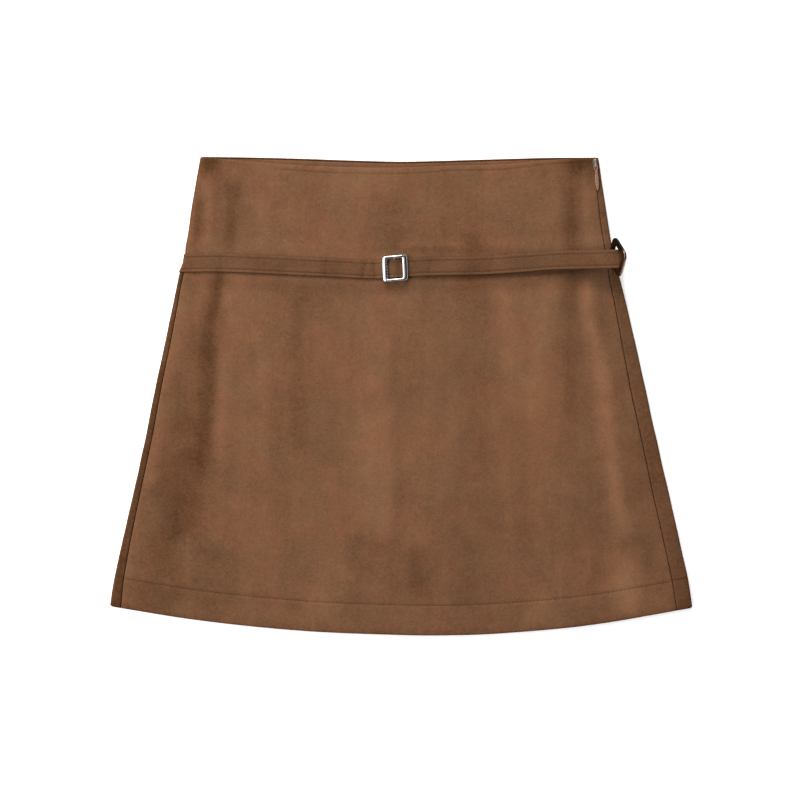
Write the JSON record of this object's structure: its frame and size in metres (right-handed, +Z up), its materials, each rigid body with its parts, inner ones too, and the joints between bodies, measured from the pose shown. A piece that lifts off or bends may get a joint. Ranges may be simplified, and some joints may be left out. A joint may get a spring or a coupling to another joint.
{
  "type": "belted skort",
  "caption": "Short A-line skirt with inner shorts, laid flat, with a narrow belt, slide buckles and a side zip.",
  "frame": {"origin": "under the middle of the laid garment, on the surface that it lies on", "axes": "+X to the right as the front is seen, across the skirt; +Y from the hem to the waist; +Z up out of the front"},
  "size_m": [0.5002, 0.4112, 0.0372],
  "materials": {
    "suede": "brown faux suede with a fine nap",
    "shorts_knit": "plain brown jersey",
    "polished_steel": "polished silver plating",
    "zip_tape": "brown woven tape",
    "zip_enamel": "tan enamel"
  },
  "bodies": {
    "garment": {"skirt_back": "suede", "skirt_front": "suede", "shorts_back_left": "shorts_knit", "shorts_back_right": "shorts_knit", "shorts_front_left": "shorts_knit", "shorts_front_right": "shorts_knit", "belt_front": "suede", "belt_back": "suede", "buckle_front": "polished_steel", "buckle_side": "polished_steel", "zip_tape": "zip_tape", "zip_slider": "zip_enamel"},
    "pull": {"zip_pull": "zip_enamel"}
  },
  "joints": [
    {"name": "pull_hinge", "type": "hinge", "parent": "garment", "child": "pull", "pos_m": [0.1669, 0.197, 0.0068], "axis": [-0.9955, -0.0943, 0], "range_deg": [0, 170]}
  ]
}
